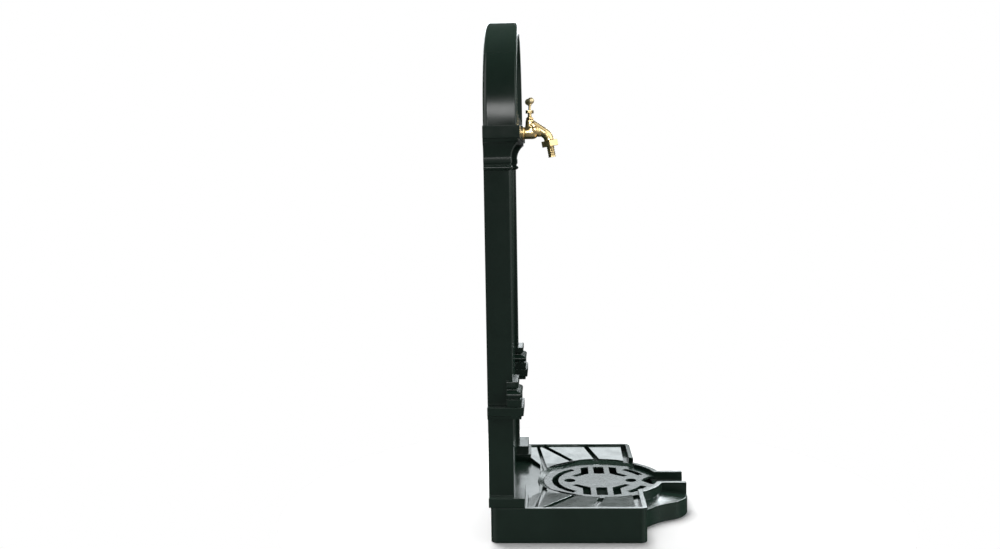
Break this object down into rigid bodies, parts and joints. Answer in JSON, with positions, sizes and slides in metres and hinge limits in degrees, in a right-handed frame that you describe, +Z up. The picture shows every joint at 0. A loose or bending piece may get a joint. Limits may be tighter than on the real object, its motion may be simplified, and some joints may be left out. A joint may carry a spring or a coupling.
{
  "type": "garden standpipe",
  "caption": "Garden standpipe: cast column with round head and pilasters on a tray with lift-out drain grille, and a brass screw-down bib tap with tee handle and hose tail.",
  "frame": {"origin": "centre of the outline's box, on the ground", "axes": "+Z up, the front with the tap and nose faces -Y, +X across the width"},
  "size_m": [0.445, 0.3824, 0.9639],
  "materials": {
    "green_paint": "semi-gloss dark green paint on a casting",
    "grille_paint": "semi-gloss dark green paint",
    "zinc_steel": "zinc plated",
    "rubber": "matte",
    "polished_brass": "polished",
    "copper": "drawn copper tube",
    "fibre": "red fibre washer"
  },
  "bodies": {
    "frame": {"base_tray": "green_paint", "pedestal": "green_paint", "column": "green_paint", "pedestal_rear_cover": "green_paint", "column_rear_cover": "green_paint", "foot_bolts": "zinc_steel", "foot_nuts": "zinc_steel", "pedestal_cover_screws": "zinc_steel", "column_cover_screws": "zinc_steel", "joint_bolts": "zinc_steel", "joint_nuts": "zinc_steel", "pipe_clip": "zinc_steel", "pipe_clip_screw": "zinc_steel", "inlet_seal": "rubber", "gland_packing": "rubber", "outlet_seal": "rubber", "inlet_connector": "polished_brass", "inlet_locknut": "polished_brass", "riser_lower_nut": "polished_brass", "riser_upper_nut": "polished_brass", "riser_lower_olive": "polished_brass", "riser_upper_olive": "polished_brass", "tap_elbow": "polished_brass", "tap_backnut": "polished_brass", "tap_flange": "polished_brass", "tap_body": "polished_brass", "bonnet": "polished_brass", "gland_nut": "polished_brass", "union_nut": "polished_brass", "hose_tail": "polished_brass", "riser_pipe": "copper", "bonnet_seal": "fibre"},
    "grille": {"drain_grille": "grille_paint"},
    "valve": {"jumper": "polished_brass", "valve_washer": "rubber", "washer_nut": "polished_brass"},
    "handle": {"spindle": "polished_brass", "tee_handle": "polished_brass", "handle_pin": "zinc_steel"}
  },
  "joints": [
    {"name": "grille_lift", "type": "slide", "parent": "frame", "child": "grille", "axis": [0, 0, 1], "range_m": [0, 0.2]},
    {"name": "valve_lift", "type": "slide", "parent": "frame", "child": "valve", "axis": [0, 0, 1], "range_m": [0, 0.005]},
    {"name": "handle_turn", "type": "hinge", "parent": "valve", "child": "handle", "pos_m": [0, 0.11075, 0.78], "axis": [0, 0, 1], "range_deg": [0, 900]}
  ],
  "couplings": [
    {"joint": "valve_lift", "follows": "handle_turn", "m_per_rad": 0.000318}
  ]
}
